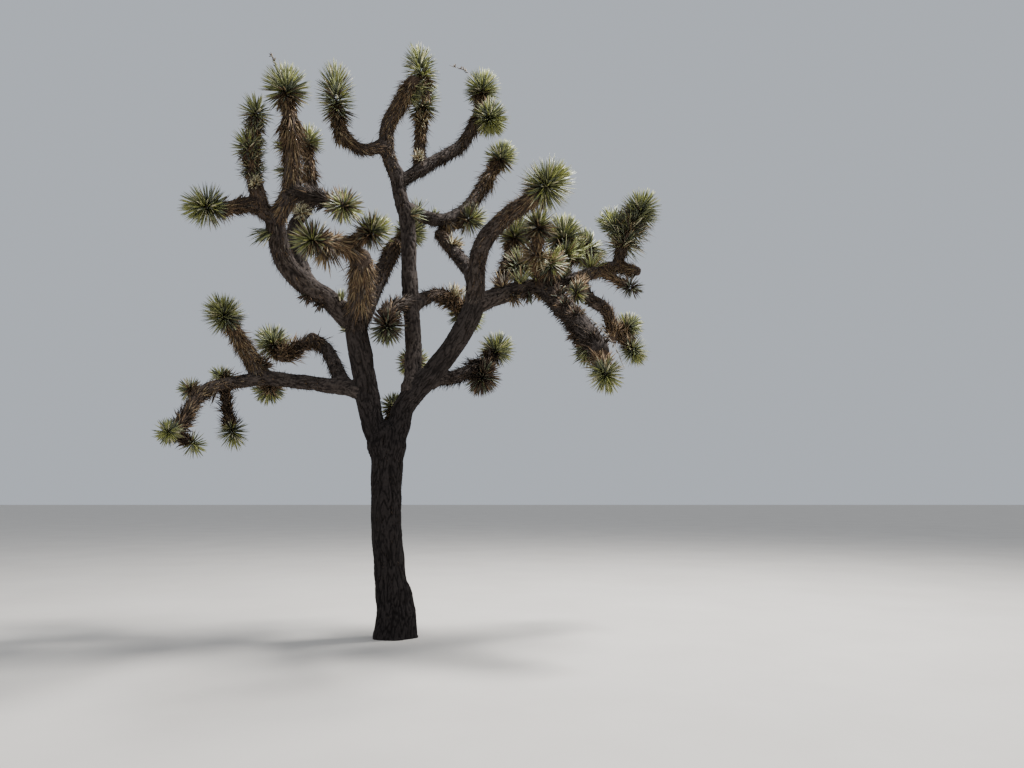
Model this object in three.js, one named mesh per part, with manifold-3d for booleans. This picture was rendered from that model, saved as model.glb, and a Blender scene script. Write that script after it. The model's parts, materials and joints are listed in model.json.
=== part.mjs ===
// A joshua tree a little over seven metres high, rooted in level ground.
// Millimetres, +Z up. The origin is the middle of the flat cut under the trunk.
// East is +X, west is -X, back is +Y and front is -Y.

import * as THREE from "three";
import { mergeVertices } from "three/addons/utils/BufferGeometryUtils.js";
import Module from "manifold-3d";

const wasm = await Module();
wasm.setup();

// Driving dimensions
const TREE_HEIGHT = 7250;
const STEP = TREE_HEIGHT / 145;
const JOINT_GAP = 0.3;

// Trunk: its radius where it meets the ground, at its waist and under its fork
const TRUNK_FOOT = 4.5 * STEP;
const TRUNK_WAIST = 3.3 * STEP;
const TRUNK_SHOULDER = 3.8 * STEP;
const FLARE_HEIGHT = 5 * STEP;
const FLARE_LOBES = 5;
const LOBE_DEPTH = 0.05;
const TRUNK_SIDES = 15;
const TRUNK_ROWS = 8;

// Boughs, and the thinner arms
const ARM_GIRTH = 2; // in STEP
const BOUGH_SIDES = 10;
const ARM_SIDES = 8;
const ROW_LENGTH = 6 * STEP;

// Heads of leaves: a long ball at the stem's end, with a stiff three-sided leaf drawn out of each facet.
// The oldest leaves, lowest in each head, are bent furthest back.
const HEAD_CORE = 0.24; // of the reach
const HEAD_LENGTH = 0.75; // of the reach
const SMALL_REACH = 4;
const LEAF_SHORTEST = 0.88;
const LEAF_JITTER = 0.5;
const TILT_OLDEST = THREE.MathUtils.degToRad(135);
const LEAF_SEED = 40;

// Stems of the heads: radius where they leave the limb, in STEP, and in the head as a share of its core
const STEM_GIRTH = 1.05;
const STEM_END = 0.55;
const STEM_SIDES = 6;
const FORK_SHARE = 0.45;

// Space kept between a leaf and the limbs, the leaves of other masses and the ground
const LIMB_CLEARANCE = 12;
const MASS_CLEARANCE = 36;
const GROUND_CLEARANCE = 200;
const LEAF_CHECKS = [0.35, 0.5, 0.65, 0.8, 1];

const TRUNK_BARK = new THREE.MeshStandardMaterial({ color: 0x4b3f35, roughness: 0.95, metalness: 0 });
const LIMB_BARK = new THREE.MeshStandardMaterial({ color: 0x6f5f50, roughness: 0.95, metalness: 0 });
const LEAF_GREEN = new THREE.MeshStandardMaterial({ color: 0x7d8a55, roughness: 0.6, metalness: 0 });

// Places are counted in STEP from the origin: east, back, up.
// A limb leaves its parent at a share of the parent's length, and passes through its places to its tip.
// Girth is its radius at the root and at the tip, in STEP.
const LIMBS = {
  trunk: { path: [[0, 0, 0], [0, 0, 5], [-2, 0, 25], [-2, 0, 45]] },

  west_bough: {
    from: "trunk", at: 0.88, girth: [2.6, 2.5],
    path: [[-5.3, -0.5, 47], [-6.5, -1, 52], [-7.5, -2, 58], [-9.5, -4, 70]],
  },
  west_crown_bough: {
    from: "west_bough", at: 0.96, girth: [2.4, 2],
    path: [[-14.5, -7, 74], [-19.5, -11, 77], [-23, -15.5, 81.5], [-24, -20, 89]],
  },
  west_spire: {
    from: "west_crown_bough", at: 0.97, girth: [1.9, 1.6],
    path: [[-20, -22, 94], [-19.5, -24, 100], [-20, -25, 109]],
  },
  west_arm: {
    from: "west_crown_bough", at: 0.99, girth: [1.7, 1.4],
    path: [[-27.5, -23, 90.5], [-30.5, -27, 88.5]],
  },
  back_bough: {
    from: "west_crown_bough", at: 0.45, girth: [1.6, 1.4],
    path: [[-22.5, -5, 85.5], [-25, -1, 93], [-22, 1, 100.5], [-23, 3, 110]],
  },
  middle_bough: {
    from: "west_bough", at: 0.96, girth: [2.6, 2.3],
    path: [[-7, -11, 77], [-6, -17, 81]],
  },
  inner_bough: {
    from: "west_bough", at: 0.93, girth: [2.1, 1.7],
    path: [[-6, 2, 80], [-3, 11, 93]],
  },

  low_west_arm: {
    from: "west_bough", at: 0.5, girth: [1.8, 1.6],
    path: [[-21, 4, 57], [-34, 8, 59]],
  },
  knee_rise: {
    from: "low_west_arm", at: 0.2, girth: [1.6, 1.5],
    path: [[-19, 11, 66], [-24, 15, 70]],
  },
  knee_fall: {
    from: "knee_rise", at: 0.95, girth: [1.45, 1.4],
    path: [[-29, 19, 68], [-33, 21, 66]],
  },
  drooping_arm: {
    from: "low_west_arm", at: 0.93, girth: [1.5, 1.2],
    path: [[-40, 4, 57], [-44, -2, 54], [-46, -10, 45]],
  },

  east_bough: {
    from: "trunk", at: 0.88, girth: [2.6, 2.3],
    path: [[0.3, 0, 47], [2, 0, 52], [9, -1, 60], [15, -3, 68], [18, -4, 75]],
  },
  leader: {
    from: "east_bough", at: 0.37, girth: [2, 1.7],
    path: [[3, 3, 67], [1.5, 5, 82], [1, 5, 95], [-1, 5, 103], [-2, 4, 109]],
  },
  top_spire: {
    from: "leader", at: 0.97, girth: [1.7, 1.9],
    path: [[-4, 3, 113.5], [-4, 2, 119.5], [-1, 1, 125], [2.5, 0, 130]],
  },
  top_west_arm: {
    from: "top_spire", at: 0.33, girth: [1.4, 1.2],
    path: [[-9.5, -1, 112.5], [-13, -4, 114]],
  },
  top_east_arm: {
    from: "leader", at: 0.95, girth: [1.6, 1.4],
    path: [[7, 10, 114.5], [13, 16, 121.5], [17.5, 20, 131.5]],
  },
  link_arm: {
    from: "leader", at: 0.83, girth: [1.6, 1.4],
    path: [[7.5, 10, 99], [12, 15, 102], [16, 19, 107.5], [20.5, 24, 117]],
  },
  arched_arm: {
    from: "leader", at: 0.4, girth: [1.6, 1.4],
    path: [[7, 11, 80], [12, 19, 80]],
  },

  east_crown_bough: {
    from: "east_bough", at: 0.97, girth: [2.2, 1.6],
    path: [[19, -9, 85], [24, -15, 90], [30, -22, 92]],
  },
  back_stub: {
    from: "east_crown_bough", at: 0.2, girth: [1.7, 1.5],
    path: [[12, 7, 90], [8, 12, 96]],
  },
  low_east_arm: {
    from: "east_bough", at: 0.47, girth: [1.6, 1.4],
    path: [[12, 5, 58.5], [16, 10, 61], [19, 14, 63.5]],
  },
  east_arm: {
    from: "east_bough", at: 0.97, girth: [2.1, 1.2],
    path: [[27, -2, 77.8], [39, 3, 81.2], [50.5, 8, 86.3], [57, 9, 85.5]],
  },
  hanging_arm: {
    from: "east_arm", at: 0.41, girth: [2.2, 2.5],
    path: [[37, -5, 74], [41, -10, 68], [44.5, -15, 61]],
  },
  hooked_arm: {
    from: "east_arm", at: 0.61, girth: [1.6, 1.4],
    path: [[45, 10, 79], [50, 15, 77], [52, 18, 71]],
  },
};

// A mass has one stem from its limb with a head of leaves at its end, and a second head where it forks.
// Reach is from the middle of a head to its furthest tips, zone the length of its leafy core, and girth
// the radius of a stout main stem at its root, all in STEP.
const MASSES = {
  west_spire_leaves: { from: "west_spire", path: [[-21, -25, 114.5]], reach: 5.6 },
  west_column_leaves: {
    from: "west_arm", at: 0.3, girth: 1.8, fork: [-27.5, -27, 101], reach: 4.1,
    path: [[-27, -26, 98], [-26, -28, 108]],
  },
  far_west_leaves: { from: "west_arm", path: [[-34, -30, 87.5]], reach: 5 },
  back_leaves: { from: "back_bough", path: [[-23.5, 3, 116]], reach: 4.5 },
  raised_leaves: { from: "low_west_arm", girth: 2.4, path: [[-37, 6, 65], [-40.5, 0, 72]], reach: 5.4 },
  knee_leaves: { from: "knee_fall", path: [[-36, 23, 70]], reach: 5.4 },
  low_west_leaves: { from: "low_west_arm", at: 0.9, path: [[-33.5, 13, 57]], reach: 4.6 },
  west_tuft_leaves: { from: "drooping_arm", at: 0.25, path: [[-43, 7, 59]], reach: 3.3 },
  far_tuft_leaves: { from: "drooping_arm", at: 0.6, path: [[-48, 1, 55]], reach: 3.3 },
  lowest_leaves: { from: "drooping_arm", at: 0.35, path: [[-41, 6, 51], [-40, 7, 46]], reach: 4.4 },
  drooping_leaves: { from: "drooping_arm", path: [[-45.5, -15, 44]], fork: [-43, -9, 42], reach: 3.4 },

  west_inner_leaves: {
    from: "west_spire", at: 0.32, girth: 1.5, reach: 4.3,
    path: [[-14, -27, 91], [-7, -32, 87]],
  },
  front_leaves: {
    from: "middle_bough", girth: 1.8, fork: [-3, -22, 85], reach: 4.8,
    path: [[-9, -24, 82], [-13, -29, 81]],
  },
  inner_leaves: { from: "inner_bough", path: [[0, 15, 97]], reach: 5 },
  hanging_leaves: { from: "leader", at: 0.42, girth: 1.5, path: [[-2, -3, 73], [-2, -5, 69]], reach: 4.9 },
  low_inner_leaves: { from: "leader", at: 0.15, path: [[2, 11, 63]], reach: 4.6 },
  fork_leaves: { from: "trunk", path: [[-2.5, 3, 47.5], [-2, 5, 51.5]], reach: 3.6 },
  top_west_leaves: {
    from: "top_west_arm", girth: 1.4, reach: 5.2, zone: 12,
    path: [[-14.5, -4, 117], [-15, -5, 122.5]],
  },
  top_leaves: {
    from: "top_spire", girth: 1.5, reach: 4.8, zone: 9,
    path: [[4.5, 1, 130.5], [4, 1, 133]],
  },
  inner_top_leaves: {
    from: "top_east_arm", at: 0.2, girth: 1.7, reach: 5, zone: 9,
    path: [[3, 9, 118], [3.5, 9, 129]],
  },
  top_east_leaves: { from: "top_east_arm", path: [[18, 21, 139]], fork: [20, 18, 130], reach: 5.6 },
  link_leaves: { from: "link_arm", path: [[23, 26, 122]], reach: 5.2 },
  arched_leaves: { from: "arched_arm", path: [[14, 22, 78]], reach: 5.6 },

  east_crown_leaves: { from: "east_crown_bough", path: [[33, -24, 94]], reach: 6.2 },
  back_stub_leaves: { from: "back_stub", path: [[11, 15, 100], [15, 16, 101]], reach: 5 },
  low_east_leaves: { from: "low_east_arm", path: [[22, 17, 67]], fork: [19, 12, 60], reach: 5.2 },
  east_near_leaves: {
    from: "east_arm", at: 0.13, girth: 1.3, fork: [28, 2, 84.5], reach: 5.4,
    path: [[25, 6, 87], [27, 8, 94]],
  },
  east_front_leaves: { from: "east_arm", at: 0.37, path: [[32, -8, 85], [32, -10, 90]], reach: 5 },
  east_star_leaves: { from: "east_arm", at: 0.44, path: [[35, -5, 83]], reach: 4.6 },
  east_back_leaves: {
    from: "east_arm", at: 0.54, fork: [45, 14, 92.5], reach: 6,
    path: [[38.8, 9, 94]],
  },
  far_east_leaves: {
    from: "east_arm", at: 0.88, girth: 1.4, fork: [52, 11, 97], reach: 5.6,
    path: [[53.5, 9, 91.8], [58, 10, 101]],
  },
  east_low_leaves: { from: "east_arm", at: 0.78, path: [[51.5, 6, 82.5], [54.5, 5, 80.5]], reach: 3.4 },
  under_east_leaves: { from: "east_arm", at: 0.63, path: [[41, -3, 77]], reach: 3.3 },
  hooked_leaves: { from: "hooked_arm", path: [[56, 22, 74]], fork: [57, 20, 68], reach: 4.6 },
  hanging_end_leaves: { from: "hanging_arm", girth: 1.8, path: [[45.5, -18, 56]], reach: 4.4 },
};

const UP = new THREE.Vector3(0, 1, 0); // along a geometry before it is turned
const placed = (counts) => new THREE.Vector3(...counts).multiplyScalar(STEP);
const smoothCurve = (places) => new THREE.CatmullRomCurve3(places, false, "catmullrom", 0.5);

// Seeded numbers from 0 to 1
function seeded(seed) {
  let state = seed;
  return () => {
    state = (state + 0x6d2b79f5) | 0;
    let mixed = Math.imul(state ^ (state >>> 15), 1 | state);
    mixed = (mixed + Math.imul(mixed ^ (mixed >>> 7), 61 | mixed)) ^ mixed;
    return ((mixed ^ (mixed >>> 14)) >>> 0) / 2 ** 32;
  };
}

// Solids from closed geometries, and back
function toSolid(geometry) {
  geometry.deleteAttribute("normal");
  geometry.deleteAttribute("uv");
  const merged = mergeVertices(geometry, 1e-3);
  const vertProperties = new Float32Array(merged.attributes.position.array);
  const triVerts = new Uint32Array(merged.index.array);
  return new wasm.Manifold(new wasm.Mesh({ numProp: 3, vertProperties, triVerts }));
}

function toGeometry(solid) {
  const { vertProperties, triVerts } = solid.getMesh();
  const geometry = new THREE.BufferGeometry();
  geometry.setAttribute("position", new THREE.BufferAttribute(vertProperties, 3));
  geometry.setIndex(new THREE.BufferAttribute(triVerts, 1));
  geometry.computeVertexNormals();
  return geometry;
}

// The largest body alone: scraps go, and a hollow that fusing sealed is filled
function largestBody(solid) {
  return solid.decompose().reduce((best, body) => (body.volume() > best.volume() ? body : best));
}

// A cylinder bent along a curve. Its radius follows the share of the length and the angle round the curve.
// A grown copy is larger all round, to cut its neighbours clear of it.
function bentCylinder(curve, radiusAt, sides, rows, grow = 0) {
  const geometry = new THREE.CylinderGeometry(1, 1, 1, sides, rows);
  const frames = curve.computeFrenetFrames(rows, false);
  const position = geometry.attributes.position;
  for (let i = 0; i < position.count; i++) {
    const row = Math.round((position.getY(i) + 0.5) * rows);
    const side = position.getX(i);
    const front = position.getZ(i);
    const radius = radiusAt(row / rows, Math.atan2(front, side)) + grow;
    const place = curve.getPointAt(row / rows);
    place.addScaledVector(frames.normals[row], front * radius);
    place.addScaledVector(frames.binormals[row], side * radius);
    if (row === 0) place.addScaledVector(frames.tangents[row], -grow);
    if (row === rows) place.addScaledVector(frames.tangents[row], grow);
    position.setXYZ(i, place.x, place.y, place.z);
  }
  return toSolid(geometry);
}

// Limbs: curves first, since each starts on its parent's
const limbs = {};

function curveFrom(parent, at, path) {
  return smoothCurve([limbs[parent].curve.getPointAt(at), ...path.map(placed)]);
}

function trunkRadius(share, angle) {
  const height = share * limbs.trunk.curve.getLength();
  const nearGround = Math.exp(-height / FLARE_HEIGHT);
  const flare = (TRUNK_FOOT - TRUNK_WAIST) * nearGround;
  const shoulder = (TRUNK_SHOULDER - TRUNK_WAIST) * share ** 4;
  return (TRUNK_WAIST + flare + shoulder) * (1 + LOBE_DEPTH * Math.cos(FLARE_LOBES * angle) * nearGround);
}

const rowsFor = (curve) => Math.max(1, Math.round(curve.getLength() / ROW_LENGTH));

function growLimb(name, { from, at, girth, path }) {
  if (!from) {
    const curve = smoothCurve(path.map(placed));
    return { name, curve, radiusAt: trunkRadius, sides: TRUNK_SIDES, rows: TRUNK_ROWS };
  }
  const curve = curveFrom(from, at, path);
  const radiusAt = (share) => THREE.MathUtils.lerp(girth[0], girth[1], share) * STEP;
  const sides = girth[0] > ARM_GIRTH ? BOUGH_SIDES : ARM_SIDES;
  return { name, curve, radiusAt, sides, rows: rowsFor(curve) };
}

for (const [name, limb] of Object.entries(LIMBS)) limbs[name] = growLimb(name, limb);

// Stems: one or two curves for each mass, each ending in the middle of a head
function growStems(name, mass) {
  const { from, at = 1, path, fork, reach, zone = HEAD_LENGTH * reach, girth = STEM_GIRTH } = mass;
  const main = curveFrom(from, at, path);
  const curves = fork ? [main, smoothCurve([main.getPointAt(FORK_SHARE), placed(fork)])] : [main];
  const core = HEAD_CORE * reach * STEP;
  const radii = [girth, STEM_GIRTH].map((root) => (share) =>
    THREE.MathUtils.lerp(root * STEP, STEM_END * core, share));
  return { name, curves, radii, core, half: zone * STEP / 2, reach: reach * STEP };
}

const masses = Object.entries(MASSES).map(([name, mass]) => growStems(name, mass));

// Every limb, stem and head as places with a size, for the clearances
const SAMPLES = 24;
const samplesAlong = (owner, curve, radiusAt) =>
  curve.getSpacedPoints(SAMPLES).map((place, i) => ({ owner, place, radius: radiusAt(i / SAMPLES, 0) }));
const limbSamples = Object.values(limbs).map((limb) => samplesAlong(limb.name, limb.curve, limb.radiusAt));
const stemSamples = masses.flatMap((mass) =>
  mass.curves.map((curve, i) => samplesAlong(mass.name, curve, mass.radii[i])));
const wood = [...limbSamples, ...stemSamples].flat();
const heads = masses.flatMap(({ name, curves, reach }) =>
  curves.map((curve) => ({ owner: name, place: curve.getPointAt(1), reach })));

// A mass keeps to the space nearer its own head than any other mass's, counted from the edge of each
function inOwnSpace(place, owner, middle, reach) {
  const own = place.distanceTo(middle) - reach + MASS_CLEARANCE;
  const others = heads.filter((head) => head.owner !== owner);
  const nearest = Math.min(...others.map((head) => place.distanceTo(head.place) - head.reach));
  if (place.z < GROUND_CLEARANCE || nearest < own) return false;
  return wood.every((w) => w.owner === owner || place.distanceTo(w.place) > w.radius + LIMB_CLEARANCE);
}

// The ball of a head, its long axis along the end of the stem, as facets of three corners on a unit ball
function ballFacets(small, random) {
  const ball = small ? new THREE.OctahedronGeometry(1, 1) : new THREE.IcosahedronGeometry(1, 1);
  ball.rotateY(2 * Math.PI * random());
  const { position } = ball.attributes;
  const cornerAt = (_, i) => new THREE.Vector3().fromBufferAttribute(position, i);
  const corners = Array.from({ length: position.count }, cornerAt);
  return Array.from({ length: corners.length / 3 }, (_, i) => corners.slice(3 * i, 3 * i + 3));
}

// One head: each leaf stands on a facet, on the line out from the middle, so no two leaves cross
function headSolid({ name, core, half, reach }, curve, random) {
  const middle = curve.getPointAt(1);
  const turned = new THREE.Quaternion().setFromUnitVectors(UP, curve.getTangentAt(1));
  const stretch = new THREE.Vector3(core, half, core);
  const onCore = (unit) => unit.clone().multiply(stretch).applyQuaternion(turned);
  const corners = [];
  for (const facet of ballFacets(reach < SMALL_REACH * STEP, random)) {
    const foot = new THREE.Vector3();
    for (const corner of facet) foot.addScaledVector(corner, 1 + LEAF_JITTER * (random() - 0.5));
    const bentBack = foot.normalize().y < Math.cos(TILT_OLDEST);
    const out = onCore(foot);
    const length = (reach - core) * THREE.MathUtils.lerp(LEAF_SHORTEST, 1, random());
    const along = (share) => out.clone().setLength(out.length() + share * length).add(middle);
    const clear = LEAF_CHECKS.every((share) => inOwnSpace(along(share), name, middle, reach));
    const [a, b, c] = facet.map((corner) => onCore(corner).add(middle));
    const tip = along(1);
    if (bentBack || !clear) corners.push(a, b, c);
    else corners.push(a, b, tip, b, c, tip, c, a, tip);
  }
  return toSolid(new THREE.BufferGeometry().setFromPoints(corners));
}

// The tree: limbs from the ground up, each cut clear of those before it, and then the masses
const tree = new THREE.Group();
const cutters = [];

function addPiece(name, solid, material) {
  const clear = cutters.reduce((rest, cutter) => rest.subtract(cutter), solid);
  const mesh = new THREE.Mesh(toGeometry(largestBody(clear)), material);
  mesh.name = name;
  tree.add(mesh);
}

for (const { name, curve, radiusAt, sides, rows } of Object.values(limbs)) {
  addPiece(name, bentCylinder(curve, radiusAt, sides, rows), name === "trunk" ? TRUNK_BARK : LIMB_BARK);
  cutters.push(bentCylinder(curve, radiusAt, sides, rows, JOINT_GAP));
}

masses.forEach((mass, index) => {
  const random = seeded(LEAF_SEED + index);
  const stems = mass.curves.map((curve, i) => bentCylinder(curve, mass.radii[i], STEM_SIDES, rowsFor(curve)));
  const crowns = mass.curves.map((curve) => headSolid(mass, curve, random));
  addPiece(mass.name, [...stems, ...crowns].reduce((whole, part) => whole.add(part)), LEAF_GREEN);
});

export default tree;
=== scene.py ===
"""The looks of a joshua tree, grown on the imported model's limbs and masses.

Metres, +Z up. East is +X, west is -X, back is +Y and front is -Y.
"""

import json
import math

import bmesh
import bpy
import numpy as np
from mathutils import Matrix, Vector, noise
from mathutils.kdtree import KDTree

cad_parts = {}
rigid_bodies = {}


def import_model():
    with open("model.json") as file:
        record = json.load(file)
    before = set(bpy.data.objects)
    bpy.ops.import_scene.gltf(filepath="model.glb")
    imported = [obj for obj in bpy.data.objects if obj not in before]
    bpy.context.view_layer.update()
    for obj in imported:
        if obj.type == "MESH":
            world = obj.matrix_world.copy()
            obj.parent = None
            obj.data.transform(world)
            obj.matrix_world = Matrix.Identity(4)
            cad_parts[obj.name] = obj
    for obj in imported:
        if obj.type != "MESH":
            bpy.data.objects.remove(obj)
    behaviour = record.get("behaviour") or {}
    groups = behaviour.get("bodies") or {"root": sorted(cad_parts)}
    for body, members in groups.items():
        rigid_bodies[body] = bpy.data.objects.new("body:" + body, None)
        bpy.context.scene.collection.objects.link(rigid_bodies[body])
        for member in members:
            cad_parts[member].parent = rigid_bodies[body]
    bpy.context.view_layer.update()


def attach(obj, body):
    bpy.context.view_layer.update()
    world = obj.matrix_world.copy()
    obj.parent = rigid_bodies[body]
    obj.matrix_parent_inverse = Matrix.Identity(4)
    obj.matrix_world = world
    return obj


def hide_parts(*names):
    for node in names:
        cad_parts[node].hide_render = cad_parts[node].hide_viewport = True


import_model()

# Sizes shared with the CAD model
STEP = 0.05  # the unit of the places, girths and reaches in the tables
TRUNK_FOOT = 4.5 * STEP  # the trunk's radius at its foot, its waist and its fork
TRUNK_WAIST = 3.3 * STEP
TRUNK_SHOULDER = 3.8 * STEP
FLARE_HEIGHT = 5 * STEP
FLARE_LOBES = 5
LOBE_DEPTH = 0.05
HEAD_CORE = 0.24  # of the reach
HEAD_LENGTH = 0.75  # of the reach, where a mass gives no length of its own
LEAF_SHORTEST = 0.88  # of the way from the core to the reach
TILT_OLDEST = math.radians(135)
STEM_GIRTH = 1.05
STEM_END = 0.55  # of the core
FORK_SHARE = 0.45
LIMB_CLEARANCE = 0.012
MASS_CLEARANCE = 0.036
GROUND_CLEARANCE = 0.2
LEAF_CHECKS = (0.35, 0.5, 0.65, 0.8, 1)  # of a leaf's length: each has to be in its own space

# Places are counted in STEP from the origin: east, back, up, as in the CAD model. A girth is a radius.
# Each limb: parent, share of the parent's length, girth at root and tip, places passed.
LIMBS = {
    "trunk": (None, 0, None, [(0, 0, 0), (0, 0, 5), (-2, 0, 25), (-2, 0, 45)]),
    "west_bough": ("trunk", 0.88, (2.6, 2.5), [
        (-5.3, -0.5, 47), (-6.5, -1, 52), (-7.5, -2, 58), (-9.5, -4, 70)]),
    "west_crown_bough": ("west_bough", 0.96, (2.4, 2), [
        (-14.5, -7, 74), (-19.5, -11, 77), (-23, -15.5, 81.5), (-24, -20, 89)]),
    "west_spire": ("west_crown_bough", 0.97, (1.9, 1.6), [
        (-20, -22, 94), (-19.5, -24, 100), (-20, -25, 109)]),
    "west_arm": ("west_crown_bough", 0.99, (1.7, 1.4), [(-27.5, -23, 90.5), (-30.5, -27, 88.5)]),
    "back_bough": ("west_crown_bough", 0.45, (1.6, 1.4), [
        (-22.5, -5, 85.5), (-25, -1, 93), (-22, 1, 100.5), (-23, 3, 110)]),
    "middle_bough": ("west_bough", 0.96, (2.6, 2.3), [(-7, -11, 77), (-6, -17, 81)]),
    "inner_bough": ("west_bough", 0.93, (2.1, 1.7), [(-6, 2, 80), (-3, 11, 93)]),
    "low_west_arm": ("west_bough", 0.5, (1.8, 1.6), [(-21, 4, 57), (-34, 8, 59)]),
    "knee_rise": ("low_west_arm", 0.2, (1.6, 1.5), [(-19, 11, 66), (-24, 15, 70)]),
    "knee_fall": ("knee_rise", 0.95, (1.45, 1.4), [(-29, 19, 68), (-33, 21, 66)]),
    "drooping_arm": ("low_west_arm", 0.93, (1.5, 1.2), [(-40, 4, 57), (-44, -2, 54), (-46, -10, 45)]),
    "east_bough": ("trunk", 0.88, (2.6, 2.3), [
        (0.3, 0, 47), (2, 0, 52), (9, -1, 60), (15, -3, 68), (18, -4, 75)]),
    "leader": ("east_bough", 0.37, (2, 1.7), [
        (3, 3, 67), (1.5, 5, 82), (1, 5, 95), (-1, 5, 103), (-2, 4, 109)]),
    "top_spire": ("leader", 0.97, (1.7, 1.9), [
        (-4, 3, 113.5), (-4, 2, 119.5), (-1, 1, 125), (2.5, 0, 130)]),
    "top_west_arm": ("top_spire", 0.33, (1.4, 1.2), [(-9.5, -1, 112.5), (-13, -4, 114)]),
    "top_east_arm": ("leader", 0.95, (1.6, 1.4), [(7, 10, 114.5), (13, 16, 121.5), (17.5, 20, 131.5)]),
    "link_arm": ("leader", 0.83, (1.6, 1.4), [
        (7.5, 10, 99), (12, 15, 102), (16, 19, 107.5), (20.5, 24, 117)]),
    "arched_arm": ("leader", 0.4, (1.6, 1.4), [(7, 11, 80), (12, 19, 80)]),
    "east_crown_bough": ("east_bough", 0.97, (2.2, 1.6), [(19, -9, 85), (24, -15, 90), (30, -22, 92)]),
    "back_stub": ("east_crown_bough", 0.2, (1.7, 1.5), [(12, 7, 90), (8, 12, 96)]),
    "low_east_arm": ("east_bough", 0.47, (1.6, 1.4), [(12, 5, 58.5), (16, 10, 61), (19, 14, 63.5)]),
    "east_arm": ("east_bough", 0.97, (2.1, 1.2), [
        (27, -2, 77.8), (39, 3, 81.2), (50.5, 8, 86.3), (57, 9, 85.5)]),
    "hanging_arm": ("east_arm", 0.41, (2.2, 2.5), [(37, -5, 74), (41, -10, 68), (44.5, -15, 61)]),
    "hooked_arm": ("east_arm", 0.61, (1.6, 1.4), [(45, 10, 79), (50, 15, 77), (52, 18, 71)]),
}

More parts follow.
